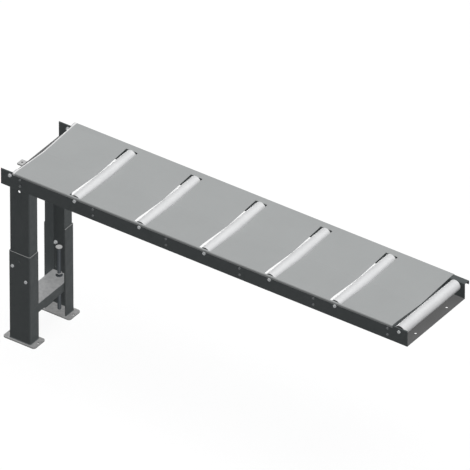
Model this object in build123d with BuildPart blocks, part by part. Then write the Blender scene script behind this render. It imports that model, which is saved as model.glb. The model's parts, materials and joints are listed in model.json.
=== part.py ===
from build123d import *
from math import atan, cos
import os

# Roller conveyor table: two bent rails, a slotted cover sheet laid in a shallow
# trough between them, six rollers, and one height-adjustable stand under the
# left end. The right end has no stand: it is bolted to a machine or to the next
# table.
# Millimetres. +X runs along the conveyor, +Z is up, front is -Y and rear is +Y.
# The origin is on the floor, under the middle of the overall box. The stand is
# drawn at its lowest setting.

os.makedirs("parts", exist_ok=True)

# Sizes: rails
rail_length = 2000
frame_width = 408          # over the outer faces of the two rail webs
deck_height = 872          # top of the rails above the floor
rail_height = 75
rail_wall = 3
rail_bend = 1.5            # inner bend radius
flange_width = 32
flange_lip = 19            # down-turned edge of the rear flange
flange_setback = 57        # both flanges start this far from the left end
tie_wall = 3
end_tie_length = 60        # right end tie, along X
end_tie_hole_edge = 24.5   # its holes from the rails' right end
end_tie_hole = 10.5
end_tie_spacing = 220

# Sizes: cover sheet
sheet_thick = 2
sheet_bend = 4             # inner bend radius
sheet_setback = 60         # left edge of the sheet from the rails' left end
sheet_margin = 1           # flat border past the flange, before the trough
sheet_end_gap = 8          # right edge of the sheet to the end roller
trough_depth = 12
roll_radius = 8            # rolled-down left edge, outer radius
roll_height = 18

# Sizes: rollers
roller_count = 6
roller_diameter = 50
roller_drop = 17           # roller axis below the rails' top
roller_start = 47          # coupling bolts, first place in the row, from the left end
roller_end = 40            # last roller's axis from the rails' right end
roller_last_cut = 7        # the last roller stands closer by this
roller_front_gap = 2
roller_rear_gap = 8
tube_wall = 1.5
slot_gap = 4               # tube to the slot's long edges
slot_front_margin = 0.5    # slot to the front web
slot_rear_margin = 2.5     # slot to the rear web
notch_gap = 2              # flange notch past the slot, each side
axle_diameter = 12
race_diameter = 17         # inner race and spacer sleeve
bearing_diameter = 28
bearing_width = 8
bearing_inset = 1
running_clearance = 0.05   # radial, race in bearing and screw in nut
housing_depth = 12
housing_lip = 4            # shoulder behind the bearing, radial

# Sizes: rail bolts, M8
bolt_diameter = 8
bolt_flats = 13
bolt_head = 5.3
bolt_length = 16
tapped_depth = 20
nut_height = 6.5
washer_diameter = 16
washer_thick = 1.6
hole_play = 0.4            # on the diameter of a plain bolt hole
fold_gap = 0.5             # sheet's folded edge to the bolt heads

# Sizes: cross-members under the sheet, and their M6 screws
cross_count = 6
cross_wall = 2
cross_flange = 25
cross_drop = 62            # lower edge below the rails' top
cross_end_gap = 18.5       # end roller's tube to the last member
cross_ear_drop = 14        # top of the screwed ears below the rails' top
cross_inset = 3            # trough flange starts this far past the trough's edges
screw_drops = (21, 52)
screw_diameter = 6
screw_head_diameter = 10.5
screw_head = 3.3
screw_length = 8

# Sizes: stand
leg_width = 105
leg_depth = 60
leg_wall = 3
leg_bend = 2.5             # inner bend radius
leg_setback = 50           # outer face of the legs inside the rail web
leg_clearance = 0.5        # upper leg's sides inside the lower leg
travel = 120
foot_length = 160
foot_width = 80
foot_thick = 6
foot_corner = 12
foot_hole = 11
foot_hole_spacing = 140
upper_leg_gap = 66         # upper leg's lower end above the foot plate
upper_hole = 12
upper_hole_drop = 52
beam_wall = 3
beam_bend = 1.5
cross_beam_height = 42
cross_beam_lift = 56       # above the upper legs' lower ends
head_beam_height = 35

# Sizes: jack screws, M16
jack_plate_thick = 4
jack_diameter = 16
jack_hole = 18
jack_nut_flats = 24
jack_nut_height = 13
jack_flange_diameter = 30
jack_flange_thick = 3
jack_head_diameter = 28
jack_head = 4
jack_cone = 3
jack_cone_diameter = 22
jack_end_gap = 2           # head to nut when the stand is fully out
jack_tip = 1.5

# Sizes: clamp bolts, M8
clamp_diameter = 8
clamp_flats = 13
clamp_head = 5.3
clamp_length = 18
clamp_side_gap = 4         # nut flange to the upper leg's side walls
clamp_stagger = 56
clamp_edge = 69            # upper clamp bolt to the lower leg's top
clamp_slot = 9
clamp_flange_diameter = 18
clamp_flange_thick = 1.5
clamp_nut_height = 8
clamp_gap = 9              # nut flange to the jack plate when fully out
locating_hole = 8
locating_drop = 36

# Sizes: stand's head bolts, and the coupling lug
head_bolt_length = 20
head_bolt_near = 30        # from the rails' left end
head_bolt_far = 75
head_bolt_reach = 120      # to each side of the middle
lug_reach = 54             # past the rails' left end
lug_width = 36
lug_thick = 6
lug_bend = 2
lug_leg = 30
lug_corner = 3
lug_hole = 9
lug_hole_edge = 14
lug_bolt_spacing = 18
lug_bolt_lift = 19         # above the lug's underside

# Places along X
left = lug_reach - (lug_reach + rail_length) / 2
right = left + rail_length
roller_row = rail_length - roller_start - roller_end + roller_last_cut
roller_pitch = roller_row / roller_count
coupling_x = left + roller_start
roller_places = [coupling_x + roller_pitch * i for i in range(1, roller_count)]
roller_places.append(right - roller_end)
slot_half = roller_diameter / 2 + slot_gap
notch_half = slot_half + notch_gap
cross_end = roller_end + roller_diameter / 2 + cross_end_gap + cross_flange / 2
cross_pitch = (rail_length - 2 * cross_end) / (cross_count - 1)
cross_places = [left + cross_end + cross_pitch * i for i in range(cross_count)]
sheet_left = left + sheet_setback
sheet_right = roller_places[-1] - roller_diameter / 2 - sheet_end_gap
stand_x = left + leg_width / 2

# Places along Y
front_reach = washer_thick + bolt_head
rear_reach = flange_width - rail_wall + sheet_thick
front = front_reach - (front_reach + frame_width + rear_reach) / 2
rear = front + frame_width
middle = (front + rear) / 2
inner_front = front + rail_wall
inner_rear = rear - rail_wall
trough_front = front + flange_width + sheet_margin
trough_rear = inner_rear - sheet_margin
tube_front = inner_front + roller_front_gap
tube_rear = inner_rear - roller_rear_gap
stand_half = frame_width / 2 - leg_setback

# Places along Z
axle_z = deck_height - roller_drop
rail_bottom = deck_height - rail_height
sheet_top = deck_height + sheet_thick
fold_bottom = axle_z + bolt_flats / 2 + fold_gap
crease = sheet_top - trough_depth
upper_leg_bottom = foot_thick + upper_leg_gap
cross_beam_bottom = upper_leg_bottom + cross_beam_lift
jack_plate_bottom = cross_beam_bottom + cross_beam_height
jack_plate_top = jack_plate_bottom + jack_plate_thick
clamp_low = jack_plate_top + clamp_gap + clamp_flange_diameter / 2 + travel
clamp_high = clamp_low + clamp_stagger
lower_leg_top = clamp_high + clamp_edge
head_beam_bottom = rail_bottom - head_beam_height


def wall_plane(y):
    """Upright plane at y, facing the front, with local axes X and Z."""
    return Plane.XZ.offset(-y)


def end_plane(x):
    """Upright plane at x, facing right, with local axes Y and Z."""
    return Plane.YZ.offset(x)


def trough_underside(y):
    """Height of the sheet's underside at y, anywhere along the trough."""
    if y <= middle:
        run = middle - trough_front
    else:
        run = trough_rear - middle
    slope = trough_depth / run
    return crease + slope * abs(y - middle) - sheet_thick / cos(atan(slope))


web_holes = [(x, axle_z) for x in [coupling_x] + roller_places]
screw_places = [(x, deck_height - drop) for x in cross_places for drop in screw_drops]

# Front rail: web with a flange turned inward. The flange is notched for each
# roller and ends before the last one.
with BuildPart() as front_rail:
    with BuildSketch(end_plane(left)):
        with BuildLine():
            FilletPolyline(
                (front, rail_bottom),
                (front, deck_height),
                (front + flange_width, deck_height),
                radius=rail_bend + rail_wall,
            )
            offset(amount=rail_wall, side=Side.RIGHT)
        make_face()
    extrude(amount=rail_length)
    notch_front = inner_front + slot_front_margin
    notch_length = flange_width
    with BuildSketch(Plane.XY.offset(deck_height)):
        with Locations(*[(x, notch_front) for x in roller_places]):
            Rectangle(2 * notch_half, notch_length, align=(Align.CENTER, Align.MIN))
        with Locations((left, notch_front)):
            Rectangle(flange_setback, notch_length, align=(Align.MIN, Align.MIN))
        with Locations((right, notch_front)):
            Rectangle(roller_end, notch_length, align=(Align.MAX, Align.MIN))
    extrude(amount=-flange_lip, mode=Mode.SUBTRACT)
    with BuildSketch(wall_plane(front)):
        with Locations(*web_holes):
            Circle((bolt_diameter + hole_play) / 2)
        with Locations(*screw_places):
            Circle((screw_diameter + hole_play) / 2)
    extrude(amount=-rail_wall, mode=Mode.SUBTRACT)
front_rail.part.label = "front_rail"
export_step(front_rail.part, "parts/front_rail.step")

# Rear rail: web with a flange turned outward and a lip, cut back at the left.
with BuildPart() as rear_rail:
    with BuildSketch(end_plane(left)):
        with BuildLine():
            FilletPolyline(
                (inner_rear, rail_bottom),
                (inner_rear, deck_height),
                (inner_rear + flange_width, deck_height),
                (inner_rear + flange_width, deck_height - flange_lip),
                radius=rail_bend + rail_wall,
            )
            offset(amount=rail_wall, side=Side.RIGHT)
        make_face()
    extrude(amount=rail_length)
    with BuildSketch(Plane.XY.offset(deck_height)):
        with Locations((left, rear)):
            Rectangle(flange_setback, flange_width, align=(Align.MIN, Align.MIN))
    extrude(amount=-flange_lip, mode=Mode.SUBTRACT)
    with BuildSketch(wall_plane(rear)):
        with Locations(*web_holes):
            Circle((bolt_diameter + hole_play) / 2)
        with Locations(*screw_places):
            Circle((screw_diameter + hole_play) / 2)
    extrude(amount=rail_wall, mode=Mode.SUBTRACT)
rear_rail.part.label = "rear_rail"
export_step(rear_rail.part, "parts/rear_rail.step")

# Cover sheet: folded down over both rails, with a shallow trough between them,
# a slot for each roller but the last, and a rolled-down left edge.
roll_start = sheet_left + roll_radius
with BuildPart() as cover_sheet:
    with BuildSketch(end_plane(sheet_left)):
        with BuildLine():
            FilletPolyline(
                (front - sheet_thick, fold_bottom),
                (front - sheet_thick, sheet_top),
                (trough_front, sheet_top),
                (middle, crease),
                (trough_rear, sheet_top),
                (rear + rear_reach, sheet_top),
                (rear + rear_reach, fold_bottom),
                radius=sheet_bend + sheet_thick,
            )
            offset(amount=sheet_thick, side=Side.RIGHT)
        make_face()
    extrude(amount=sheet_right - sheet_left)
    with BuildSketch(Plane.XY.offset(sheet_top)):
        with Locations(*[(x, inner_front + slot_front_margin) for x in roller_places[:-1]]):
            Rectangle(
                2 * slot_half,
                inner_rear - inner_front - slot_front_margin - slot_rear_margin,
                align=(Align.CENTER, Align.MIN),
            )
        with Locations((sheet_left, trough_front)):
            Rectangle(roll_radius, trough_rear - trough_front, align=(Align.MIN, Align.MIN))
    extrude(amount=-2 * trough_depth, mode=Mode.SUBTRACT)
    trough_start = Vector(roll_start, trough_front, sheet_top)
    trough_crease = Vector(roll_start, middle, crease)
    trough_stop = Vector(roll_start, trough_rear, sheet_top)
    with BuildLine() as trough_edge:
        Polyline(trough_start, trough_crease, trough_stop)
    roll_plane = Plane(trough_start, x_dir=(1, 0, 0), z_dir=trough_crease - trough_start)
    with BuildSketch(roll_plane):
        with BuildLine():
            FilletPolyline(
                (sheet_thick, 0),
                (-roll_radius, 0),
                (-roll_radius, roll_height),
                radius=roll_radius,
            )
            offset(amount=sheet_thick, side=Side.RIGHT)
        make_face()
    sweep(path=trough_edge.line, transition=Transition.RIGHT)
    with BuildSketch(Plane.XY.offset(deck_height)):
        with Locations((sheet_left, trough_front)):
            Rectangle(roll_radius, flange_width, align=(Align.MIN, Align.MAX))
        with Locations((sheet_left, trough_rear)):
            Rectangle(roll_radius, flange_width, align=(Align.MIN, Align.MIN))
    extrude(amount=-2 * trough_depth, mode=Mode.SUBTRACT)
cover_sheet.part.label = "cover_sheet"
export_step(cover_sheet.part, "parts/cover_sheet.step")

# Cross-members: bent plates between the webs. The top flange follows the trough
# and carries the sheet; an ear at each end takes two screws.
cross_front = trough_front + cross_inset
cross_rear = trough_rear - cross_inset
cross_bottom = deck_height - cross_drop
member_top = [
    (cross_rear, trough_underside(cross_rear)),
    (middle, trough_underside(middle)),
    (cross_front, trough_underside(cross_front)),
]
member_low = [(y, z - cross_wall) for y, z in reversed(member_top)]
ear_height = cross_drop - cross_ear_drop
for number, x in enumerate(cross_places, start=1):
    with BuildPart() as cross_member:
        with BuildSketch(end_plane(x - cross_flange / 2)):
            with BuildLine():
                Polyline(
                    (inner_front, cross_bottom),
                    (inner_rear, cross_bottom),
                    (inner_rear, deck_height - cross_ear_drop),
                    (cross_rear, deck_height - cross_ear_drop),
                    *member_top,
                    (cross_front, deck_height - cross_ear_drop),
                    (inner_front, deck_height - cross_ear_drop),
                    close=True,
                )
            make_face()
        extrude(amount=cross_wall)
        with BuildSketch(end_plane(x - cross_flange / 2)):
            with BuildLine():
                Polyline(*member_top, *member_low, close=True)
            make_face()
        extrude(amount=cross_flange)
        with BuildSketch(Plane.XY.offset(cross_bottom)):
            with Locations((x, inner_front)):
                Rectangle(cross_flange, cross_wall, align=(Align.CENTER, Align.MIN))
            with Locations((x, inner_rear)):
                Rectangle(cross_flange, cross_wall, align=(Align.CENTER, Align.MAX))
        extrude(amount=ear_height)
        with BuildSketch(wall_plane(inner_front)):
            with Locations(*[(x, deck_height - drop) for drop in screw_drops]):
                Circle(screw_diameter / 2)
        extrude(amount=inner_front - inner_rear, mode=Mode.SUBTRACT)
    cross_member.part.label = f"cross_member_{number}"
    export_step(cross_member.part, f"parts/cross_member_{number}.step")

# End ties: flat plates welded between the webs' lower edges. The left one also
# carries the stand, the right one has two holes for fixing the table.
head_bolt_places = [
    (left + x, middle + y)
    for x in (head_bolt_near, head_bolt_far)
    for y in (-head_bolt_reach, head_bolt_reach)
]
tie_width = inner_rear - inner_front
with BuildPart() as left_end_tie:
    with BuildSketch(Plane.XY.offset(rail_bottom)):
        with Locations((left, middle)):
            Rectangle(leg_width, tie_width, align=(Align.MIN, Align.CENTER))
        with Locations(*head_bolt_places):
            Circle((bolt_diameter + hole_play) / 2, mode=Mode.SUBTRACT)
    extrude(amount=tie_wall)
left_end_tie.part.label = "left_end_tie"
export_step(left_end_tie.part, "parts/left_end_tie.step")

with BuildPart() as right_end_tie:
    with BuildSketch(Plane.XY.offset(rail_bottom)):
        with Locations((right, middle)):
            Rectangle(end_tie_length, tie_width, align=(Align.MAX, Align.CENTER))
        with Locations((right - end_tie_hole_edge, middle)):
            with GridLocations(0, end_tie_spacing, 1, 2):
                Circle(end_tie_hole / 2, mode=Mode.SUBTRACT)
    extrude(amount=tie_wall)
right_end_tie.part.label = "right_end_tie"
export_step(right_end_tie.part, "parts/right_end_tie.step")

# Axles: round bars clamped between the webs, tapped at both ends.
for number, x in enumerate(roller_places, start=1):
    with BuildPart() as axle:
        with BuildSketch(wall_plane(inner_front)):
            with Locations((x, axle_z)):
                Circle(axle_diameter / 2)
        extrude(amount=-tie_width)
        with BuildSketch(wall_plane(inner_front), wall_plane(inner_rear - tapped_depth)):
            with Locations((x, axle_z)):
                Circle(bolt_diameter / 2)
        extrude(amount=-tapped_depth, mode=Mode.SUBTRACT)
    axle.part.label = f"axle_{number}"
    export_step(axle.part, f"parts/axle_{number}.step")

# Inner races: one at each end of each axle, long enough to space the roller
# from the web.
race_front = bearing_inset + roller_front_gap + bearing_width
race_rear = bearing_inset + roller_rear_gap + bearing_width
axle_places = [(x, axle_z) for x in roller_places]
with BuildPart() as bearing_races:
    with BuildSketch(wall_plane(inner_front)):
        with Locations(*axle_places):
            Circle(race_diameter / 2)
            Circle(axle_diameter / 2, mode=Mode.SUBTRACT)
    extrude(amount=-race_front)
    with BuildSketch(wall_plane(inner_rear)):
        with Locations(*axle_places):
            Circle(race_diameter / 2)
            Circle(axle_diameter / 2, mode=Mode.SUBTRACT)
    extrude(amount=race_rear)
bearing_races.part.label = "bearing_races"
export_step(bearing_races.part, "parts/bearing_races.step")

# Rail bolts: one into each axle end, and one through each web at the left end,
# where the row of axles has no roller.
with BuildPart() as rail_bolts:
    with BuildSketch(wall_plane(front)):
        with Locations(*axle_places):
            RegularPolygon(bolt_flats / 2, 6, major_radius=False)
    extrude(amount=bolt_head)
    with BuildSketch(wall_plane(front)):
        with Locations(*axle_places):
            Circle(bolt_diameter / 2)
    extrude(amount=-bolt_length)
    with BuildSketch(wall_plane(rear)):
        with Locations(*axle_places):
            RegularPolygon(bolt_flats / 2, 6, major_radius=False)
    extrude(amount=-bolt_head)
    with BuildSketch(wall_plane(rear)):
        with Locations(*axle_places):
            Circle(bolt_diameter / 2)
    extrude(amount=bolt_length)
    with BuildSketch(wall_plane(front - washer_thick)):
        with Locations((coupling_x, axle_z)):
            RegularPolygon(bolt_flats / 2, 6, major_radius=False)
    extrude(amount=bolt_head)
    with BuildSketch(wall_plane(front - washer_thick)):
        with Locations((coupling_x, axle_z)):
            Circle(bolt_diameter / 2)
    extrude(amount=-bolt_length)
    with BuildSketch(wall_plane(rear + washer_thick)):
        with Locations((coupling_x, axle_z)):
            RegularPolygon(bolt_flats / 2, 6, major_radius=False)
    extrude(amount=-bolt_head)
    with BuildSketch(wall_plane(rear + washer_thick)):
        with Locations((coupling_x, axle_z)):
            Circle(bolt_diameter / 2)
    extrude(amount=bolt_length)
rail_bolts.part.label = "rail_bolts"
export_step(rail_bolts.part, "parts/rail_bolts.step")

with BuildPart() as coupling_washers:
    for y in (front - washer_thick, inner_front, inner_rear - washer_thick, rear):
        with BuildSketch(wall_plane(y)):
            with Locations((coupling_x, axle_z)):
                Circle(washer_diameter / 2)
                Circle(bolt_diameter / 2, mode=Mode.SUBTRACT)
        extrude(amount=-washer_thick)
coupling_washers.part.label = "coupling_washers"
export_step(coupling_washers.part, "parts/coupling_washers.step")

with BuildPart() as coupling_nuts:
    for y in (inner_front + washer_thick, inner_rear - washer_thick - nut_height):
        with BuildSketch(wall_plane(y)):
            with Locations((coupling_x, axle_z)):
                RegularPolygon(bolt_flats / 2, 6, major_radius=False)
                Circle(bolt_diameter / 2, mode=Mode.SUBTRACT)
        extrude(amount=-nut_height)
coupling_nuts.part.label = "coupling_nuts"
export_step(coupling_nuts.part, "parts/coupling_nuts.step")

# Screws through the webs into the cross-members' ears.
with BuildPart() as cross_screws:
    with BuildSketch(wall_plane(front)):
        with Locations(*screw_places):
            Circle(screw_head_diameter / 2)
    extrude(amount=screw_head)
    with BuildSketch(wall_plane(front)):
        with Locations(*screw_places):
            Circle(screw_diameter / 2)
    extrude(amount=-screw_length)
    with BuildSketch(wall_plane(rear)):
        with Locations(*screw_places):
            Circle(screw_head_diameter / 2)
    extrude(amount=-screw_head)
    with BuildSketch(wall_plane(rear)):
        with Locations(*screw_places):
            Circle(screw_diameter / 2)
    extrude(amount=screw_length)
cross_screws.part.label = "cross_screws"
export_step(cross_screws.part, "parts/cross_screws.step")

# Rollers: a tube with a moulded bearing seat and a sealed bearing in each end.
tube_bore = roller_diameter / 2 - tube_wall
bearing_bore = race_diameter / 2 + running_clearance
bearing_seat = bearing_diameter / 2
for number, x in enumerate(roller_places, start=1):
    with BuildPart() as roller_tube:
        with BuildSketch(wall_plane(tube_front)):
            with Locations((x, axle_z)):
                Circle(roller_diameter / 2)
                Circle(tube_bore, mode=Mode.SUBTRACT)
        extrude(amount=tube_front - tube_rear)
    roller_tube.part.label = f"roller_{number}_tube"
    export_step(roller_tube.part, f"parts/roller_{number}_tube.step")

    with BuildPart() as roller_housings:
        for y, inward in ((tube_front, 1), (tube_rear, -1)):
            with BuildSketch(Plane((x, y, axle_z), x_dir=(0, inward, 0), z_dir=(1, 0, 0))):
                with BuildLine():
                    Polyline(
                        (0, bearing_seat),
                        (0, tube_bore),
                        (housing_depth, tube_bore),
                        (housing_depth, bearing_seat - housing_lip),
                        (bearing_inset + bearing_width, bearing_seat - housing_lip),
                        (bearing_inset + bearing_width, bearing_seat),
                        close=True,
                    )
                make_face()
            revolve(axis=Axis((x, y, axle_z), (0, 1, 0)))
    roller_housings.part.label = f"roller_{number}_housings"
    export_step(roller_housings.part, f"parts/roller_{number}_housings.step")

    with BuildPart() as roller_bearings:
        for y in (tube_front + bearing_inset, tube_rear - bearing_inset - bearing_width):
            with BuildSketch(wall_plane(y)):
                with Locations((x, axle_z)):
                    Circle(bearing_seat)
                    Circle(bearing_bore, mode=Mode.SUBTRACT)
            extrude(amount=-bearing_width)
    roller_bearings.part.label = f"roller_{number}_bearings"
    export_step(roller_bearings.part, f"parts/roller_{number}_bearings.step")

# Stand. Everything on a leg is drawn once, in the leg's own plane: local x runs
# along the leg's width and local y from its outer face towards the other leg.
upper_width = leg_width - 2 * leg_wall - 2 * leg_clearance
clamp_offset = upper_width / 2 - leg_wall - clamp_side_gap - clamp_flange_diameter / 2
upper_depth = leg_depth - leg_wall
beam_width = upper_width - 2 * leg_wall
beam_half = stand_half - 2 * leg_wall - leg_bend
leg_outer_bend = leg_bend + leg_wall
clamp_places = [(-clamp_offset, clamp_high), (clamp_offset, clamp_low)]
jack_nut_top = jack_plate_top + jack_nut_height
jack_cone_start = jack_nut_top + travel + jack_end_gap
jack_disc_start = jack_cone_start + jack_cone
jack_top = jack_disc_start + jack_head
for name, side in (("front", 1), ("rear", -1)):
    leg_face = middle - side * stand_half
    leg_plane = Plane((stand_x, leg_face, 0), x_dir=(side, 0, 0), z_dir=(0, 0, 1))
    face_plane = Plane((stand_x, leg_face, 0), x_dir=(side, 0, 0), z_dir=(0, -side, 0))

    # Upper leg: slides inside the lower leg, and is slotted for the clamp bolts.
    with BuildPart() as upper_leg:
        with BuildSketch(leg_plane.offset(upper_leg_bottom)):
            with BuildLine():
                FilletPolyline(
                    (-upper_width / 2, leg_wall + upper_depth),
                    (-upper_width / 2, leg_wall),
                    (upper_width / 2, leg_wall),
                    (upper_width / 2, leg_wall + upper_depth),
                    radius=leg_outer_bend,
                )
                offset(amount=leg_wall, side=Side.LEFT)
            make_face()
        extrude(amount=rail_bottom - upper_leg_bottom)
        with BuildSketch(face_plane.offset(-leg_wall)):
            with Locations(*[(x, z - travel / 2) for x, z in clamp_places]):
                SlotCenterToCenter(travel, clamp_slot, rotation=90)
            with Locations((0, rail_bottom - upper_hole_drop)):
                Circle(upper_hole / 2)
        extrude(amount=-leg_wall, mode=Mode.SUBTRACT)
    upper_leg.part.label = f"{name}_upper_leg"
    export_step(upper_leg.part, f"parts/{name}_upper_leg.step")

    # Lower leg: the outer channel, standing on its foot plate.
    with BuildPart() as lower_leg:
        with BuildSketch(leg_plane.offset(foot_thick)):
            with BuildLine():
                FilletPolyline(
                    (-leg_width / 2, leg_depth),
                    (-leg_width / 2, 0),
                    (leg_width / 2, 0),
                    (leg_width / 2, leg_depth),
                    radius=leg_outer_bend,
                )
                offset(amount=leg_wall, side=Side.LEFT)
            make_face()
        extrude(amount=lower_leg_top - foot_thick)
        with BuildSketch(face_plane):
            with Locations(*clamp_places):
                Circle((clamp_diameter + hole_play) / 2)
            with Locations((0, lower_leg_top - locating_drop)):
                Circle(locating_hole / 2)
        extrude(amount=-leg_wall, mode=Mode.SUBTRACT)
    lower_leg.part.label = f"{name}_lower_leg"
    export_step(lower_leg.part, f"parts/{name}_lower_leg.step")

    with BuildPart() as foot_plate:
        with BuildSketch(leg_plane):
            with Locations((0, leg_depth / 2)):
                RectangleRounded(foot_length, foot_width, foot_corner)
                with GridLocations(foot_hole_spacing, 0, 2, 1):
                    Circle(foot_hole / 2, mode=Mode.SUBTRACT)
        extrude(amount=foot_thick)
    foot_plate.part.label = f"{name}_foot_plate"
    export_step(foot_plate.part, f"parts/{name}_foot_plate.step")

    # Clamp bolts through both legs, with flanged nuts inside.
    with BuildPart() as clamp_bolts:
        with BuildSketch(face_plane):
            with Locations(*clamp_places):
                RegularPolygon(clamp_flats / 2, 6, major_radius=False)
        extrude(amount=clamp_head)
        with BuildSketch(face_plane):
            with Locations(*clamp_places):
                Circle(clamp_diameter / 2)
        extrude(amount=-clamp_length)
    clamp_bolts.part.label = f"{name}_clamp_bolts"
    export_step(clamp_bolts.part, f"parts/{name}_clamp_bolts.step")

    with BuildPart() as clamp_nuts:
        with BuildSketch(face_plane.offset(-2 * leg_wall)):
            with Locations(*clamp_places):
                Circle(clamp_flange_diameter / 2)
                Circle(clamp_diameter / 2, mode=Mode.SUBTRACT)
        extrude(amount=-clamp_flange_thick)
        with BuildSketch(face_plane.offset(-2 * leg_wall)):
            with Locations(*clamp_places):
                RegularPolygon(clamp_flats / 2, 6, major_radius=False)
                Circle(clamp_diameter / 2, mode=Mode.SUBTRACT)
        extrude(amount=-clamp_nut_height)
    clamp_nuts.part.label = f"{name}_clamp_nuts"
    export_step(clamp_nuts.part, f"parts/{name}_clamp_nuts.step")

    # Jack screw: stands on the foot plate and turns in the nut on the jack
    # plate. Its head stops short of the nut when the stand is fully out.
    with BuildPart() as jack_screw:
        jack_origin = leg_plane.from_local_coords((0, leg_depth / 2, 0))
        with BuildSketch(Plane(jack_origin, x_dir=(1, 0, 0), z_dir=(0, -1, 0))):
            with BuildLine():
                Polyline(
                    (0, foot_thick),
                    (jack_diameter / 2 - jack_tip, foot_thick),
                    (jack_diameter / 2, foot_thick + jack_tip),
                    (jack_diameter / 2, jack_cone_start),
                    (jack_cone_diameter / 2, jack_disc_start),
                    (jack_head_diameter / 2, jack_disc_start),
                    (jack_head_diameter / 2, jack_top),
                    (0, jack_top),
                    close=True,
                )
            make_face()
        revolve(axis=Axis(jack_origin, (0, 0, 1)))
    jack_screw.part.label = f"{name}_jack_screw"
    export_step(jack_screw.part, f"parts/{name}_jack_screw.step")

# Beams: channels open downward, welded between the upper legs' side flanges.
jack_reach = stand_half - leg_depth / 2
jack_places = [(stand_x, middle - jack_reach), (stand_x, middle + jack_reach)]
beam_radius = beam_bend + beam_wall
with BuildPart() as cross_beam:
    with BuildSketch(wall_plane(middle - beam_half)):
        with BuildLine():
            FilletPolyline(
                (stand_x - beam_width / 2, cross_beam_bottom),
                (stand_x - beam_width / 2, jack_plate_bottom),
                (stand_x + beam_width / 2, jack_plate_bottom),
                (stand_x + beam_width / 2, cross_beam_bottom),
                radius=beam_radius,
            )
            offset(amount=beam_wall, side=Side.RIGHT)
        make_face()
    extrude(amount=-2 * beam_half)
    with BuildSketch(Plane.XY.offset(jack_plate_bottom)):
        with Locations(*jack_places):
            Circle(jack_hole / 2)
    extrude(amount=-beam_wall, mode=Mode.SUBTRACT)
cross_beam.part.label = "cross_beam"
export_step(cross_beam.part, "parts/cross_beam.step")

lug_bolt_places = [
    (middle - lug_bolt_spacing / 2, head_beam_bottom + lug_bolt_lift),
    (middle + lug_bolt_spacing / 2, head_beam_bottom + lug_bolt_lift),
]
beam_left = stand_x - beam_width / 2
with BuildPart() as head_beam:
    with BuildSketch(wall_plane(middle - beam_half)):
        with BuildLine():
            FilletPolyline(
                (stand_x - beam_width / 2, head_beam_bottom),
                (stand_x - beam_width / 2, rail_bottom),
                (stand_x + beam_width / 2, rail_bottom),
                (stand_x + beam_width / 2, head_beam_bottom),
                radius=beam_radius,
            )
            offset(amount=beam_wall, side=Side.RIGHT)
        make_face()
    extrude(amount=-2 * beam_half)
    with BuildSketch(Plane.XY.offset(rail_bottom)):
        with Locations(*head_bolt_places):
            Circle((bolt_diameter + hole_play) / 2)
    extrude(amount=-beam_wall, mode=Mode.SUBTRACT)
    with BuildSketch(end_plane(beam_left)):
        with Locations(*lug_bolt_places):
            Circle((bolt_diameter + hole_play) / 2)
    extrude(amount=beam_wall, mode=Mode.SUBTRACT)
head_beam.part.label = "head_beam"
export_step(head_beam.part, "parts/head_beam.step")

with BuildPart() as jack_plate:
    with BuildSketch(Plane.XY.offset(jack_plate_bottom)):
        with Locations((stand_x, middle)):
            Rectangle(beam_width, 2 * beam_half)
        with Locations(*jack_places):
            Circle(jack_hole / 2, mode=Mode.SUBTRACT)
    extrude(amount=jack_plate_thick)
jack_plate.part.label = "jack_plate"
export_step(jack_plate.part, "parts/jack_plate.step")

jack_nut_bore = jack_diameter / 2 + running_clearance
with BuildPart() as jack_nuts:
    with BuildSketch(Plane.XY.offset(jack_plate_top)):
        with Locations(*jack_places):
            Circle(jack_flange_diameter / 2)
            Circle(jack_nut_bore, mode=Mode.SUBTRACT)
    extrude(amount=jack_flange_thick)
    with BuildSketch(Plane.XY.offset(jack_plate_top)):
        with Locations(*jack_places):
            RegularPolygon(jack_nut_flats / 2, 6, major_radius=False)
            Circle(jack_nut_bore, mode=Mode.SUBTRACT)
    extrude(amount=jack_nut_height)
jack_nuts.part.label = "jack_nuts"
export_step(jack_nuts.part, "parts/jack_nuts.step")

# Coupling lug: bent flat bar on the head beam, reaching past the left end.
lug_top = head_beam_bottom + lug_thick
with BuildPart() as coupling_lug:
    with BuildSketch(wall_plane(middle - lug_width / 2)):
        with BuildLine():
            FilletPolyline(
                (beam_left, head_beam_bottom + lug_leg),
                (beam_left, head_beam_bottom),
                (left - lug_reach, head_beam_bottom),
                radius=lug_bend + lug_thick,
            )
            offset(amount=lug_thick, side=Side.RIGHT)
        make_face()
    extrude(amount=-lug_width)
    fillet(coupling_lug.edges().filter_by(Axis.Z).group_by(Axis.X)[0], lug_corner)
    with BuildSketch(Plane.XY.offset(lug_top)):
        with Locations((left - lug_reach + lug_hole_edge, middle)):
            Circle(lug_hole / 2)
    extrude(amount=-lug_thick, mode=Mode.SUBTRACT)
    with BuildSketch(end_plane(beam_left)):
        with Locations(*lug_bolt_places):
            Circle((bolt_diameter + hole_play) / 2)
    extrude(amount=-lug_thick, mode=Mode.SUBTRACT)
coupling_lug.part.label = "coupling_lug"
export_step(coupling_lug.part, "parts/coupling_lug.step")

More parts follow.
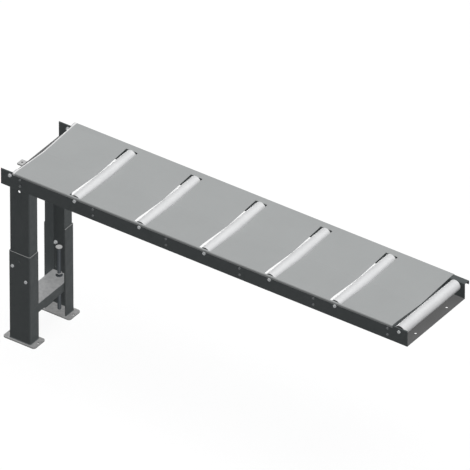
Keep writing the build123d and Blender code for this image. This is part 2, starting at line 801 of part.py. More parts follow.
# Stand bolts: four through the left end tie and the head beam, two through the
# lug and the head beam's wall, each with a nut inside the beam.
tie_top = rail_bottom + tie_wall
lug_face = beam_left - lug_thick
with BuildPart() as stand_bolts:
    with BuildSketch(Plane.XY.offset(tie_top)):
        with Locations(*head_bolt_places):
            RegularPolygon(bolt_flats / 2, 6, major_radius=False)
    extrude(amount=bolt_head)
    with BuildSketch(Plane.XY.offset(tie_top)):
        with Locations(*head_bolt_places):
            Circle(bolt_diameter / 2)
    extrude(amount=-head_bolt_length)
    with BuildSketch(end_plane(lug_face)):
        with Locations(*lug_bolt_places):
            RegularPolygon(bolt_flats / 2, 6, major_radius=False)
    extrude(amount=-bolt_head)
    with BuildSketch(end_plane(lug_face)):
        with Locations(*lug_bolt_places):
            Circle(bolt_diameter / 2)
    extrude(amount=head_bolt_length)
stand_bolts.part.label = "stand_bolts"
export_step(stand_bolts.part, "parts/stand_bolts.step")

with BuildPart() as stand_nuts:
    with BuildSketch(Plane.XY.offset(rail_bottom - beam_wall)):
        with Locations(*head_bolt_places):
            RegularPolygon(bolt_flats / 2, 6, major_radius=False)
            Circle(bolt_diameter / 2, mode=Mode.SUBTRACT)
    extrude(amount=-nut_height)
    with BuildSketch(end_plane(beam_left + beam_wall)):
        with Locations(*lug_bolt_places):
            RegularPolygon(bolt_flats / 2, 6, major_radius=False)
            Circle(bolt_diameter / 2, mode=Mode.SUBTRACT)
    extrude(amount=nut_height)
stand_nuts.part.label = "stand_nuts"
export_step(stand_nuts.part, "parts/stand_nuts.step")
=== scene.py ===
import json
import math

import bmesh
import bpy
from mathutils import Matrix, Vector


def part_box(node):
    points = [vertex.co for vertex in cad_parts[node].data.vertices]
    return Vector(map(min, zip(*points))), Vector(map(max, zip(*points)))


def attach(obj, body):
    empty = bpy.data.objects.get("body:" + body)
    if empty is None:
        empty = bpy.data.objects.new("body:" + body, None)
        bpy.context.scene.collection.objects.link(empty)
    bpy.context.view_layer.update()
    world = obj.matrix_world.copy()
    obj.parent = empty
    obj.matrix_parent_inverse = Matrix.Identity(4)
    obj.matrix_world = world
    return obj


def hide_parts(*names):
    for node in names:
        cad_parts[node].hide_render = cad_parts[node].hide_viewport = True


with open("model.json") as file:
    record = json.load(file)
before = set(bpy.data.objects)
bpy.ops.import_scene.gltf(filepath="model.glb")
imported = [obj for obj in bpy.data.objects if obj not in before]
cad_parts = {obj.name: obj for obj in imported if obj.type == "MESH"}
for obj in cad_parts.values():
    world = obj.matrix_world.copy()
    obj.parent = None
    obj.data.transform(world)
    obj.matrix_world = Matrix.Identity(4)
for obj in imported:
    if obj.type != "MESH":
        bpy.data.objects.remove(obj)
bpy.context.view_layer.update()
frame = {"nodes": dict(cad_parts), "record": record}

# Metres. +X runs along the table, +Z is up and the front is -Y. Reference places
# are read from the frame.
rail_low, rail_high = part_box("front_rail")
LEFT, FRONT, RAIL_TOP = rail_low.x, rail_low.y, rail_high.z
FRAME_WIDTH = 0.408
REAR = FRONT + FRAME_WIDTH
UP = Vector((0, 0, 1))
RIGHTWARD = Vector((1, 0, 0))
BACKWARD = Vector((0, 1, 0))

# Camera: the photograph is a parallel projection, so the lens is very long.
AZIMUTH = math.radians(35)
ELEVATION = math.radians(35)
SENSOR_MM = 36
LENS_MM = 1500
IMAGE_PIXELS = 470
PIXELS_PER_MM = 0.24794
VIEW_WIDTH = IMAGE_PIXELS / PIXELS_PER_MM / 1000
VIEW_DISTANCE = VIEW_WIDTH * LENS_MM / SENSOR_MM
VIEW_CENTRE = Vector((LEFT + 1.015, FRONT + 0.204, RAIL_TOP - 0.0409))


def link(thing):
    bpy.context.scene.collection.objects.link(thing)


def make_camera():
    data = bpy.data.cameras.new("camera")
    data.sensor_width = SENSOR_MM
    data.lens = LENS_MM
    data.clip_start = 1
    data.clip_end = 4 * VIEW_DISTANCE
    camera = bpy.data.objects.new("camera", data)
    link(camera)
    back = Vector((
        math.sin(AZIMUTH) * math.cos(ELEVATION),
        -math.cos(AZIMUTH) * math.cos(ELEVATION),
        math.sin(ELEVATION),
    ))
    camera.location = VIEW_CENTRE + back * VIEW_DISTANCE
    camera.rotation_mode = "QUATERNION"
    camera.rotation_quaternion = (-back).to_track_quat("-Z", "Y")
    bpy.context.scene.camera = camera


make_camera()
bpy.context.scene.view_settings.view_transform = "Standard"

# Node helpers. A noise's scale is in features per metre, and its values lie mostly
# between NOISE_LOW and NOISE_HIGH.
NOISE_LOW = 0.3
NOISE_HIGH = 0.7
MIX_FIRST = 6  # colour sockets of a Mix node
MIX_SECOND = 7
MIX_RESULT = 2
EDGE_DOT = 0.86  # rounded normal against the real one, on an edge and on a face
FACE_DOT = 0.99


def empty_tree(owner):
    owner.use_nodes = True
    owner.node_tree.nodes.clear()
    return owner.node_tree


def new_material(name):
    """A material with its tree and a Principled shader linked to the output."""
    material = bpy.data.materials.new(name)
    tree = empty_tree(material)
    output = tree.nodes.new("ShaderNodeOutputMaterial")
    shader = tree.nodes.new("ShaderNodeBsdfPrincipled")
    tree.links.new(shader.outputs["BSDF"], output.inputs["Surface"])
    return material, tree, shader


def coordinates(tree, stretch=(1, 1, 1)):
    """Object coordinates in metres, stretched along each axis."""
    place = tree.nodes.new("ShaderNodeTexCoord")
    mapping = tree.nodes.new("ShaderNodeMapping")
    mapping.inputs["Scale"].default_value = stretch
    tree.links.new(place.outputs["Object"], mapping.inputs["Vector"])
    return mapping.outputs["Vector"]


def noise(tree, vector, scale, detail=3):
    node = tree.nodes.new("ShaderNodeTexNoise")
    node.inputs["Scale"].default_value = scale
    node.inputs["Detail"].default_value = detail
    tree.links.new(vector, node.inputs["Vector"])
    return node.outputs["Fac"]


def remap(tree, value, low, high, from_low=NOISE_LOW, from_high=NOISE_HIGH):
    """Spreads a value's range from_low to from_high over low to high."""
    node = tree.nodes.new("ShaderNodeMapRange")
    node.inputs["From Min"].default_value = from_low
    node.inputs["From Max"].default_value = from_high
    node.inputs["To Min"].default_value = low
    node.inputs["To Max"].default_value = high
    tree.links.new(value, node.inputs["Value"])
    return node.outputs["Result"]


def blend_colours(tree, factor, first, second):
    """Runs from first to second with factor; each of them is a colour or a socket."""
    node = tree.nodes.new("ShaderNodeMix")
    node.data_type = "RGBA"
    tree.links.new(factor, node.inputs["Factor"])
    for index, colour in ((MIX_FIRST, first), (MIX_SECOND, second)):
        socket = node.inputs[index]
        if isinstance(colour, tuple):
            socket.default_value = (*colour, 1)
        else:
            tree.links.new(colour, socket)
    return node.outputs[MIX_RESULT]


def bump(tree, shader, height, strength, distance):
    node = tree.nodes.new("ShaderNodeBump")
    node.inputs["Strength"].default_value = strength
    node.inputs["Distance"].default_value = distance
    tree.links.new(height, node.inputs["Height"])
    tree.links.new(node.outputs["Normal"], shader.inputs["Normal"])


def maths(tree, operation, first, second):
    node = tree.nodes.new("ShaderNodeMath")
    node.operation = operation
    for socket, value in zip(node.inputs, (first, second)):
        if isinstance(value, (int, float)):
            socket.default_value = value
        else:
            tree.links.new(value, socket)
    return node.outputs["Value"]


def edge_wear(tree, radius):
    """0 on faces, rising to 1 within radius of an edge."""
    rounded = tree.nodes.new("ShaderNodeBevel")
    rounded.samples = 4
    rounded.inputs["Radius"].default_value = radius
    geometry = tree.nodes.new("ShaderNodeNewGeometry")
    dot = tree.nodes.new("ShaderNodeVectorMath")
    dot.operation = "DOT_PRODUCT"
    tree.links.new(rounded.outputs["Normal"], dot.inputs[0])
    tree.links.new(geometry.outputs["Normal"], dot.inputs[1])
    return remap(tree, dot.outputs["Value"], 1, 0, EDGE_DOT, FACE_DOT)


def axis_place(tree, axis):
    """Place along one axis in metres, in the frame at rest."""
    place = tree.nodes.new("ShaderNodeTexCoord")
    split = tree.nodes.new("ShaderNodeSeparateXYZ")
    tree.links.new(place.outputs["Object"], split.inputs["Vector"])
    return split.outputs[axis]


def marked(tree, colour, mark):
    """colour, or mark's own one past its limit; mark is (axis, operation, limit, colour)."""
    if mark is None:
        return colour
    axis, operation, limit, other = mark
    mask = maths(tree, operation, axis_place(tree, axis), limit)
    return blend_colours(tree, mask, colour, other)


# Materials. Sizes are in metres, and roughness is a (low, high) range.
PAINT_GLOSS = 0.12
METAL_GLOSS = 0.2
ZINC_SHARE = 0.25
CRYSTALS_PER_METRE = 110
WEAR_WIDTH = 0.0012
GRAIN_DEPTH = 0.0002
STREAK_DEPTH = 0.0001


def paint(name, face, patch, edge, roughness, grain, mark=None):
    """Powder coat: fine grain, faint clouding and rubbed edges."""
    material, tree, shader = new_material(name)
    place = coordinates(tree)
    clouds = remap(tree, noise(tree, place, scale=7, detail=4), 0, 1)
    colour = blend_colours(tree, clouds, face, patch)
    speckle = remap(tree, noise(tree, place, scale=260), 0, 1, from_low=0.35, from_high=0.75)
    worn = maths(tree, "MULTIPLY", edge_wear(tree, WEAR_WIDTH), speckle)
    colour = marked(tree, blend_colours(tree, worn, colour, edge), mark)
    tree.links.new(colour, shader.inputs["Base Color"])
    sheen = remap(tree, noise(tree, place, scale=40), *roughness)
    tree.links.new(sheen, shader.inputs["Roughness"])
    bump(tree, shader, noise(tree, place, scale=900, detail=2), grain, GRAIN_DEPTH)
    shader.inputs["Specular IOR Level"].default_value = PAINT_GLOSS
    return material


def metal(name, face, patch, share, roughness, stretch, strength, mark=None):
    """Plated or drawn metal with fine streaks, closest together where stretch is
    largest. share is how much of it mirrors; the rest scatters, as a passivated or
    ground surface does."""
    material, tree, shader = new_material(name)
    shader.inputs["Metallic"].default_value = share
    shader.inputs["Specular IOR Level"].default_value = METAL_GLOSS
    streaks = noise(tree, coordinates(tree, stretch), scale=1, detail=4)
    clouds = remap(tree, noise(tree, coordinates(tree), scale=12), 0, 1)
    colour = marked(tree, blend_colours(tree, clouds, face, patch), mark)
    tree.links.new(colour, shader.inputs["Base Color"])
    tree.links.new(remap(tree, streaks, *roughness), shader.inputs["Roughness"])
    bump(tree, shader, streaks, strength, STREAK_DEPTH)
    return material


def galvanised(name, dull, bright, mark=None):
    """Hot-dip zinc: flat crystal patches of slightly different grey."""
    material, tree, shader = new_material(name)
    shader.inputs["Metallic"].default_value = ZINC_SHARE
    shader.inputs["Specular IOR Level"].default_value = METAL_GLOSS
    cells = tree.nodes.new("ShaderNodeTexVoronoi")
    cells.inputs["Scale"].default_value = CRYSTALS_PER_METRE
    tree.links.new(coordinates(tree), cells.inputs["Vector"])
    chance = tree.nodes.new("ShaderNodeSeparateColor")
    tree.links.new(cells.outputs["Color"], chance.inputs["Color"])
    tone = remap(tree, chance.outputs["Red"], 0, 1, from_low=0, from_high=1)
    colour = marked(tree, blend_colours(tree, tone, dull, bright), mark)
    tree.links.new(colour, shader.inputs["Base Color"])
    sheen = remap(tree, chance.outputs["Green"], low=0.45, high=0.62, from_low=0, from_high=1)
    tree.links.new(sheen, shader.inputs["Roughness"])
    fine = noise(tree, coordinates(tree), scale=300)
    bump(tree, shader, fine, strength=0.15, distance=GRAIN_DEPTH)
    return material


def plastic(name, dark, light):
    """Moulded plastic: faint mottling and a fine matt skin."""
    material, tree, shader = new_material(name)
    place = coordinates(tree)
    colour = blend_colours(tree, noise(tree, place, scale=60), dark, light)
    tree.links.new(colour, shader.inputs["Base Color"])
    sheen = remap(tree, noise(tree, place, scale=200), low=0.35, high=0.6)
    tree.links.new(sheen, shader.inputs["Roughness"])
    fine = noise(tree, place, scale=1500, detail=2)
    bump(tree, shader, fine, strength=0.2, distance=STREAK_DEPTH)
    return material


def grey(value, blue=0.0):
    """A grey, made colder by blue."""
    return (value, value + blue / 2, value + blue)


# Marks: the lower legs' upper rim, bare and lightened further by a painted highlight,
# the sheet's left roll, lightened as a painted highlight, the jack screws' plated heads,
# the jack nuts' upper faces, and painted shade on the lug's sides below its top.
LUG_THICK = 0.006
LEG_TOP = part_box("front_lower_leg")[1].z
SHEET_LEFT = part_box("cover_sheet")[0].x
JACK_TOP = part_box("front_jack_screw")[1].z
LUG_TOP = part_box("coupling_lug")[0].z + LUG_THICK
# Bare rim with a painted highlight: the legs' top edge is coloured light grey.
RIM_BARE_AND_HIGHLIGHT = ("Z", "GREATER_THAN", LEG_TOP - 0.0008, grey(0.25))
# Painted highlight: the sheet's left roll is coloured near white along its length.
PAINTED_ROLL_HIGHLIGHT = ("X", "LESS_THAN", SHEET_LEFT + 0.010, grey(0.74))
PLATED_HEAD = ("Z", "GREATER_THAN", JACK_TOP - 0.005, grey(0.45))
NUT_FACE = ("Z", "GREATER_THAN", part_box("jack_nuts")[1].z - 0.001, grey(0.3))
# Painted shade: the lug's sides are coloured darker than its top face.
LUG_SIDES_PAINTED_SHADE = ("Z", "LESS_THAN", LUG_TOP - 0.0006, grey(0.2))

# Coats as (face, patch, worn edge), and how rough and grainy they are.
WORN_DARK = (0.19, 0.195, 0.195)
DARK = ((0.091, 0.100, 0.102), (0.082, 0.091, 0.093), WORN_DARK)
# Painted light: the end ties get a lighter copy of the frame's dark paint, which brightens their
# tops where they sit in shade under the deck.
TIE = (grey(0.118), grey(0.106), WORN_DARK)
PALE = ((0.357, 0.367, 0.367), (0.347, 0.357, 0.357), grey(0.55))
MATT = {"roughness": (0.42, 0.6), "grain": 0.35}
SATIN = {"roughness": (0.32, 0.46), "grain": 0.12}

# Streaks: even in all directions, round a roller, and along a screw.
EVEN = (500, 500, 500)
ROUND_ROLLER = (30, 1200, 30)
ROUND_SCREW = (90, 90, 900)
SCREW_STEEL = {
    "face": grey(0.058, 0.014),
    "patch": grey(0.048, 0.012),
    "share": 0.1,
    "roughness": (0.5, 0.65),
    "strength": 0.2,
}

# The legs' mark lightens their bare upper rim with a painted highlight.
LEG_PAINT = paint("leg_paint", *DARK, **MATT, mark=RIM_BARE_AND_HIGHLIGHT)
# The ties' lighter paint is painted light for their shaded tops.
LIT_TIE_PAINT = paint("lit_tie_paint", *TIE, **MATT)
JACK_STEEL = metal("jack_steel", **SCREW_STEEL, stretch=ROUND_SCREW, mark=PLATED_HEAD)
NUT_STEEL = metal("nut_steel", **SCREW_STEEL, stretch=EVEN, mark=NUT_FACE)
FOOT_ZINC = galvanised("foot_zinc", grey(0.26), grey(0.33))
# The lug's mark is painted shade on its sides.
LUG_ZINC = galvanised("lug_zinc", grey(0.44), grey(0.50), LUG_SIDES_PAINTED_SHADE)
SLOT_MATERIALS = {
    "dark_paint": paint("dark_paint", *DARK, **MATT),
    # The sheet's mark is a painted highlight along its left roll.
    "sheet_paint": paint("sheet_paint", *PALE, **SATIN, mark=PAINTED_ROLL_HIGHLIGHT),
    "roller_zinc": metal(
        "roller_zinc",
        grey(0.66, 0.01),
        grey(0.62, 0.01),
        share=0.2,
        roughness=(0.4, 0.55),
        stretch=ROUND_ROLLER,
        strength=0.2,
    ),
    "bright_steel": metal(
        "bright_steel",
        grey(0.50),
        grey(0.44),
        share=0.5,
        roughness=(0.3, 0.45),
        stretch=EVEN,
        strength=0.2,
    ),
    "bearing_steel": metal(
        "bearing_steel",
        grey(0.6),
        grey(0.5),
        share=0.8,
        roughness=(0.2, 0.32),
        stretch=EVEN,
        strength=0.1,
    ),
    "zinc_fastener": metal(
        "zinc_fastener",
        grey(0.56, 0.02),
        grey(0.48, 0.02),
        share=0.35,
        roughness=(0.4, 0.55),
        stretch=EVEN,
        strength=0.2,
    ),
    "black_screw": metal(
        "black_screw",
        grey(0.17, 0.01),
        grey(0.13, 0.01),
        share=0.4,
        roughness=(0.35, 0.5),
        stretch=EVEN,
        strength=0.2,
    ),
    "galvanised_plate": galvanised("galvanised_plate", grey(0.30, 0.005), grey(0.36, 0.005)),
    "black_plastic": plastic("black_plastic", (0.008, 0.008, 0.009), (0.02, 0.02, 0.021)),
}
NODE_MATERIALS = {
    "front_lower_leg": LEG_PAINT,
    "rear_lower_leg": LEG_PAINT,
    "left_end_tie": LIT_TIE_PAINT,
    "right_end_tie": LIT_TIE_PAINT,
    "front_jack_screw": JACK_STEEL,
    "rear_jack_screw": JACK_STEEL,
    "jack_nuts": NUT_STEEL,
    "front_foot_plate": FOOT_ZINC,
    "rear_foot_plate": FOOT_ZINC,
    "coupling_lug": LUG_ZINC,
}
slot_of = {row["node"]: row["material_slot"] for row in frame["record"]["subparts"]}


def material_of(node):
    return NODE_MATERIALS.get(node, SLOT_MATERIALS[slot_of[node]])


# CAD nodes keep their shape; they get a material, softened edges and smooth normals.
MERGE_DISTANCE = 0.000002
EDGE_WIDTH = 0.0004
EDGE_ANGLE = math.radians(35)


def shade_smooth(mesh):
    mesh.polygons.foreach_set("use_smooth", [True] * len(mesh.polygons))


def soften(shape):
    shade_smooth(shape.data)
    weld = shape.modifiers.new("weld", "WELD")
    weld.merge_threshold = MERGE_DISTANCE
    bevel = shape.modifiers.new("bevel", "BEVEL")
    bevel.width = EDGE_WIDTH
    bevel.segments = 2
    bevel.limit_method = "ANGLE"
    bevel.angle_limit = EDGE_ANGLE
    bevel.use_clamp_overlap = True
    normals = shape.modifiers.new("normals", "WEIGHTED_NORMAL")
    normals.weight = 100
    normals.keep_sharp = True


for node, shape in frame["nodes"].items():
    shape.data.materials.clear()
    shape.data.materials.append(material_of(node))
    soften(shape)

# Fasteners and jack screws: chamfered heads, nuts and cut threads in place of the
# CAD's plain ones, at the places and sizes that the frame gives.
STEPS = 24  # round each turned piece
ROWS = 6  # along each turn of a thread
THREAD_DEPTH = 0.61  # share of the pitch
FLANK_SLOPE = 1.3
CREST_FLAT = 0.15
CHAMFER_SLOPE = math.tan(math.radians(30))
SHARP_ANGLE = math.radians(28)

# Radii as shares of the size across flats
SEAT = 0.46
FACE = 0.475
DISH_RIM = 0.36
DISH_FLOOR = 0.34
FLANGE_FOOT = 0.58

# M8 bolts and nuts. Heights are from the seat, outward.
M8_DIAMETER = 0.008
M8_PITCH = 0.00125
M8_FLATS = 0.013
M8_HEAD = 0.0053
M8_FLANGE = (0.009, 0.0015)  # radius and thickness
THREAD_TOP = -0.002
NECK = -0.001
TIP_CHAMFER = 0.0005
THREAD_FOOT = 0.0007  # above the tip
RELIEF = 0.0003  # under the hexagon, and the head's dish
BORE_CHAMFER = 0.0006

# M16 jack screws, with heights from the head's top, and their nuts.
JACK_RADIUS = 0.008
JACK_PITCH = 0.002
JACK_TIP_RADIUS = 0.0065
JACK_TIP_BEVEL = 0.0002
JACK_TIP = 0.0015
JACK_THREAD_TOP = -0.012
JACK_NECK = -0.0115
JACK_CONE_FOOT = -0.007
JACK_CONE_RADIUS = 0.011
JACK_HEAD_FOOT = -0.004
JACK_HEAD_BEVEL = 0.0004
JACK_HEAD_ROUND = 0.0006
JACK_CENTRE_RADIUS = 0.003
JACK_CENTRE_FLOOR = 0.0018
JACK_CENTRE_DEPTH = 0.001
JACK_NUT_FLATS = 0.024
JACK_NUT_BORE = 0.00805
JACK_NUT_FLANGE = (0.015, 0.003)


def islands(node):
    """Low and high corner of each separate solid of a CAD node."""
    shape = frame["nodes"][node]
    bm = bmesh.new()
    bm.from_mesh(shape.data)
    bm.transform(shape.matrix_world)
    bmesh.ops.remove_doubles(bm, verts=bm.verts, dist=MERGE_DISTANCE)
    found = []
    waiting = set(bm.verts)
    while waiting:
        reached = [waiting.pop()]
        island = []
        while reached:
            vertex = reached.pop()
            island.append(vertex.co.copy())
            for edge in vertex.link_edges:
                other = edge.other_vert(vertex)
                if other in waiting:
                    waiting.remove(other)
                    reached.append(other)
        low = Vector([min(place[axis] for place in island) for axis in range(3)])
        high = Vector([max(place[axis] for place in island) for axis in range(3)])
        found.append((low, high))
    bm.free()
    return sorted(found, key=lambda box: tuple(box[0]))


def circle(radius, height):
    return [(radius, height)] * STEPS


def hexagon(flats, height, chamfer=0):
    """Hexagon outline with a corner at the first step. Chamfer 1 lowers its corners,
    and -1 raises them."""
    row = []
    for step in range(STEPS):
        radius = flats / 2 / math.cos(math.radians(360 * step / STEPS % 60 - 30))
        row.append((radius, height - chamfer * (radius - FACE * flats) * CHAMFER_SLOPE))
    return row


def thread(diameter, pitch, start, end):
    """Rows of a right-handed thread from start to end."""
    rows = []
    count = round((end - start) / pitch * ROWS)
    for index in range(count + 1):
        height = start + (end - start) * index / count
        row = []
        for step in range(STEPS):
            phase = (height / pitch - step / STEPS) % 1
            fall = min(1, max(0, FLANK_SLOPE * abs(2 * phase - 1) - CREST_FLAT))
            row.append((diameter / 2 - THREAD_DEPTH * pitch * fall, height))
        rows.append(row)
    return rows


def skin(bm, loops, ring=False):
    """Faces between loops of vertices, closed at both ends, or into a ring when the
    last loop meets the first."""
    pairs = list(zip(loops, loops[1:]))
    if ring:
        pairs.append((loops[-1], loops[0]))
    else:
        bm.faces.new(loops[0][::-1])
        bm.faces.new(loops[-1])
    for lower, upper in pairs:
        for step in range(len(lower)):
            after = (step + 1) % len(lower)
            bm.faces.new((lower[step], lower[after], upper[after], upper[step]))


def turned(bm, place, rows, ring=False):
    """Skin through rows of (radius, height) round the local Z axis."""
    loops = []
    for row in rows:
        loop = []
        for step, (radius, height) in enumerate(row):
            angle = 2 * math.pi * step / STEPS
            spot = Vector((radius * math.cos(angle), radius * math.sin(angle), height))
            loop.append(bm.verts.new(place @ spot))
        loops.append(loop)
    skin(bm, loops, ring)


def length_along(box, outward):
    low, high = box
    return abs((high - low).dot(outward))


def stand_at(box, outward, back):
    """Axes with Z outward and a hexagon's corner along X, set back from the box's
    outward end."""
    low, high = box
    across = BACKWARD if outward.x else RIGHTWARD
    turn = Matrix((across, outward.cross(across), outward)).transposed().to_4x4()
    origin = (low + high) / 2 + outward * (length_along(box, outward) / 2 - back)
    return Matrix.Translation(origin) @ turn


def add_bolt(bm, box, outward):
    """M8 hexagon bolt with its thread, head outward."""
    radius = M8_DIAMETER / 2
    tip = M8_HEAD - length_along(box, outward)
    rows = [
        circle(radius - M8_PITCH, tip),
        circle(radius - THREAD_DEPTH * M8_PITCH, tip + TIP_CHAMFER),
        *thread(M8_DIAMETER, M8_PITCH, tip + THREAD_FOOT, THREAD_TOP),
        circle(radius, NECK),
        circle(radius, 0),
        circle(SEAT * M8_FLATS, 0),
        hexagon(M8_FLATS, RELIEF),
        hexagon(M8_FLATS, M8_HEAD, 1),
        circle(FACE * M8_FLATS, M8_HEAD),
        circle(DISH_RIM * M8_FLATS, M8_HEAD),
        circle(DISH_FLOOR * M8_FLATS, M8_HEAD - RELIEF),
    ]
    turned(bm, stand_at(box, outward, M8_HEAD), rows)


def add_nut(bm, box, outward, flats=M8_FLATS, bore=M8_DIAMETER / 2, flange=None):
    """Hexagon nut that rises outward from its seat; flange is (radius, thickness)."""
    height = length_along(box, outward)
    if flange:
        radius, thick = flange
        rows = [
            circle(bore, 0),
            circle(radius, 0),
            circle(radius, thick / 2),
            circle(FLANGE_FOOT * flats, thick),
            hexagon(flats, thick + RELIEF),
        ]
    else:
        rows = [circle(bore, 0), circle(FACE * flats, 0), hexagon(flats, 0, -1)]
    rows += [
        hexagon(flats, height, 1),
        circle(FACE * flats, height),
        circle(bore + BORE_CHAMFER, height),
        circle(bore, height - BORE_CHAMFER),
    ]
    turned(bm, stand_at(box, outward, height), rows, ring=True)


def add_jack_screw(bm, box):
    """M16 screw: chamfered tip, thread, cone and disc head on top."""
    foot = -length_along(box, UP)
    head_radius = (box[1].x - box[0].x) / 2
    rows = [
        circle(JACK_TIP_RADIUS, foot),
        circle(JACK_TIP_RADIUS + JACK_TIP_BEVEL, foot + JACK_TIP_BEVEL),
        *thread(2 * JACK_RADIUS, JACK_PITCH, foot + JACK_TIP, JACK_THREAD_TOP),
        circle(JACK_RADIUS, JACK_NECK),
        circle(JACK_RADIUS, JACK_CONE_FOOT),
        circle(JACK_CONE_RADIUS, JACK_HEAD_FOOT),
        circle(head_radius - JACK_HEAD_BEVEL, JACK_HEAD_FOOT),
        circle(head_radius, JACK_HEAD_FOOT + JACK_HEAD_BEVEL),
        circle(head_radius, -JACK_HEAD_ROUND),
        circle(head_radius - JACK_HEAD_ROUND, 0),
        circle(JACK_CENTRE_RADIUS, 0),
        circle(JACK_CENTRE_FLOOR, -JACK_CENTRE_DEPTH),
    ]
    turned(bm, stand_at(box, UP, 0), rows)


def make_piece(name, build, material, body):
    """A new piece on a body, with the mesh that build puts into a bmesh."""
    mesh = bpy.data.meshes.new(name)
    bm = bmesh.new()
    build(bm)
    bmesh.ops.recalc_face_normals(bm, faces=bm.faces)
    for edge in bm.edges:
        edge.smooth = edge.calc_face_angle(0) < SHARP_ANGLE
    bm.to_mesh(mesh)
    bm.free()
    shade_smooth(mesh)
    piece = bpy.data.objects.new(name, mesh)
    link(piece)
    mesh.materials.append(material)
    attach(piece, body)
    return piece


def refit(node, body, add, outward_of, **sizes):
    """A piece that stands for a CAD node's fasteners, one for each of its solids."""
    def build(bm):
        for box in islands(node):
            add(bm, box, outward_of(box), **sizes)

    piece = make_piece(node + "_fitted", build, material_of(node), body)
    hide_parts(node)


def outward_y(box):
    """Outward through the rail or leg that the solid is nearer to."""
    nearer_front = box[0].y + box[1].y < FRONT + REAR
    return -BACKWARD if nearer_front else BACKWARD


def inward_y(box):
    return -outward_y(box)


def is_long(box):
    """Whether a solid is longer upward than along X."""
    size = box[1] - box[0]
    return size.z > size.x


def bolt_side(box):
    """The stand's bolts point up through the end tie, or left through the lug."""
    return UP if is_long(box) else -RIGHTWARD


def nut_side(box):
    """The stand's nuts are wide and low under the end tie, or upright by the lug."""
    return RIGHTWARD if is_long(box) else -UP


def upward(box):
    return UP


refit("rail_bolts", "deck", add_bolt, outward_y)
refit("coupling_nuts", "deck", add_nut, inward_y)
refit("stand_bolts", "deck", add_bolt, bolt_side)
refit("stand_nuts", "deck", add_nut, nut_side)
refit(
    "jack_nuts",
    "deck",
    add_nut,
    upward,
    flats=JACK_NUT_FLATS,
    bore=JACK_NUT_BORE,
    flange=JACK_NUT_FLANGE,
)
for side in ("front", "rear"):
    refit(side + "_clamp_bolts", side + "_leg", add_bolt, outward_y)
    refit(side + "_clamp_nuts", side + "_leg", add_nut, inward_y, flange=M8_FLANGE)
    screw = side + "_jack_screw"
    piece = make_piece(
        screw + "_threaded",
        lambda bm: add_jack_screw(bm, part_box(screw)),
        material_of(screw),
        side + "_jack",
    )
    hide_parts(screw)

# Weld beads round the feet of the lower legs, on the three closed sides.
BEAD_RADIUS = 0.0022
BEAD_SIDES = 8
RIPPLE_LENGTH = 0.003
RIPPLE_SHARE = 0.1
PATH_STEP = 0.001
LEG_CORNER = 0.0055
CORNER_STEPS = 6
BEAD_END_GAP = 0.002


def bead_path(leg, side):
    """Outline of a leg's channel at its foot; side is -1 for the front leg, 1 for the
    rear one, and the channel is open towards the middle."""
    low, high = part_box(leg)
    near, far = (low.y, high.y) if side < 0 else (high.y, low.y)
    centre_y = near - side * LEG_CORNER
    outline = [(low.x, far + side * BEAD_END_GAP)]
    for centre_x, start in ((low.x + LEG_CORNER, 180), (high.x - LEG_CORNER, 270)):
        for step in range(CORNER_STEPS + 1):
            angle = math.radians(start + 90 * step / CORNER_STEPS)
            outline.append((
                centre_x + LEG_CORNER * math.cos(angle),
                centre_y - side * LEG_CORNER * math.sin(angle),
            ))
    outline.append((high.x, far + side * BEAD_END_GAP))
    spots = []
    for (x0, y0), (x1, y1) in zip(outline, outline[1:]):
        count = max(1, round(math.hypot(x1 - x0, y1 - y0) / PATH_STEP))
        for index in range(count):
            share = index / count
            spots.append(Vector((x0 + (x1 - x0) * share, y0 + (y1 - y0) * share, low.z)))
    return spots


def add_bead(bm, spots):
    """A rippled tube along a level path."""
    loops = []
    travelled = 0
    for index, spot in enumerate(spots):
        before = spots[max(0, index - 1)]
        after = spots[min(len(spots) - 1, index + 1)]
        travelled += (spot - before).length
        sideways = (after - before).normalized().cross(UP)
        ripple = abs(math.sin(math.pi * travelled / RIPPLE_LENGTH))
        radius = BEAD_RADIUS * (1 - RIPPLE_SHARE + RIPPLE_SHARE * ripple)
        loop = []
        for step in range(BEAD_SIDES):
            angle = 2 * math.pi * step / BEAD_SIDES
            offset = sideways * math.cos(angle) + UP * math.sin(angle)
            loop.append(bm.verts.new(spot + offset * radius))
        loops.append(loop)
    skin(bm, loops)


for name, side in (("front", -1), ("rear", 1)):
    spots = bead_path(name + "_lower_leg", side)
    bead = make_piece(
        name + "_foot_weld",
        lambda bm: add_bead(bm, spots),
        LEG_PAINT,
        name + "_leg",
    )

# Stage: the floor and the sky are white where the camera or a reflection sees them,
# while little light comes from them. The floor keeps the object's shadow.
FLOOR_SIZE = 60
FLOOR_PLAIN = (0.05, 0.05, 0.05, 1)
FLOOR_SEEN = (0.6, 0.6, 0.6, 1)
FLOOR_GLOW = 0.38
SKY_COLOUR = (0.93, 0.97, 1, 1)
SKY_STRENGTH = 0.04
WHITE = (1, 1, 1, 1)


def sees_background(tree):
    """1 for camera, glossy and transmission rays, otherwise 0."""
    path = tree.nodes.new("ShaderNodeLightPath")
    either = maths(tree, "MAXIMUM", path.outputs["Is Camera Ray"], path.outputs["Is Glossy Ray"])
    return maths(tree, "MAXIMUM", either, path.outputs["Is Transmission Ray"])


def choose_by_ray(tree, output, lighting, seen):
    """Sends seen to the rays that see the background, and lighting to the others."""
    choose = tree.nodes.new("ShaderNodeMixShader")
    tree.links.new(sees_background(tree), choose.inputs["Fac"])
    tree.links.new(lighting, choose.inputs[1])
    tree.links.new(seen, choose.inputs[2])
    tree.links.new(choose.outputs["Shader"], output.inputs["Surface"])


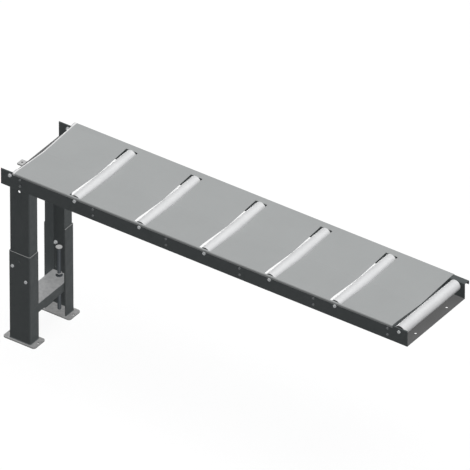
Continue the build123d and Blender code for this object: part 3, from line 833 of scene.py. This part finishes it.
def make_floor():
    bpy.ops.mesh.primitive_plane_add(size=FLOOR_SIZE, location=(0, 0, 0))
    floor = bpy.context.object
    floor.name = "floor"
    material = bpy.data.materials.new("floor")
    tree = empty_tree(material)
    output = tree.nodes.new("ShaderNodeOutputMaterial")
    plain = tree.nodes.new("ShaderNodeBsdfDiffuse")
    plain.inputs["Color"].default_value = FLOOR_PLAIN
    shadowed = tree.nodes.new("ShaderNodeBsdfDiffuse")
    shadowed.inputs["Color"].default_value = FLOOR_SEEN
    glow = tree.nodes.new("ShaderNodeEmission")
    glow.inputs["Strength"].default_value = FLOOR_GLOW
    bright = tree.nodes.new("ShaderNodeAddShader")
    tree.links.new(shadowed.outputs["BSDF"], bright.inputs[0])
    tree.links.new(glow.outputs["Emission"], bright.inputs[1])
    choose_by_ray(tree, output, plain.outputs["BSDF"], bright.outputs["Shader"])
    floor.data.materials.append(material)


def make_world():
    world = bpy.data.worlds.new("studio")
    bpy.context.scene.world = world
    tree = empty_tree(world)
    output = tree.nodes.new("ShaderNodeOutputWorld")
    sky = tree.nodes.new("ShaderNodeBackground")
    sky.inputs["Color"].default_value = SKY_COLOUR
    sky.inputs["Strength"].default_value = SKY_STRENGTH
    white = tree.nodes.new("ShaderNodeBackground")
    white.inputs["Color"].default_value = WHITE
    choose_by_ray(tree, output, sky.outputs["Background"], white.outputs["Background"])


def make_lamp(name, strength, spread, towards, shadow=False):
    """A sun that shines from towards; spread is in degrees."""
    data = bpy.data.lights.new(name, "SUN")
    data.energy = strength
    data.angle = math.radians(spread)
    data.use_shadow = shadow
    lamp = bpy.data.objects.new(name, data)
    link(lamp)
    lamp.rotation_mode = "QUATERNION"
    lamp.rotation_quaternion = Vector(towards).to_track_quat("Z", "Y")


# The photograph has no shadow on the object, so the key and the lamps that fill the
# front, the far sides and the underside cast none. The top lamp casts the soft
# shadow on the floor.
make_floor()
make_world()
make_lamp("key", 3.05, 20, (0.40, -0.15, 0.90))
make_lamp("front", 0.24, 20, (0.15, -0.98, 0.10))
make_lamp("top", 0.45, 60, (0.10, 0.05, 1.00), shadow=True)
make_lamp("back", 0.80, 20, (-0.75, 0.62, -0.25))
make_lamp("under", 0.50, 20, (0.00, 0.00, -1.00))
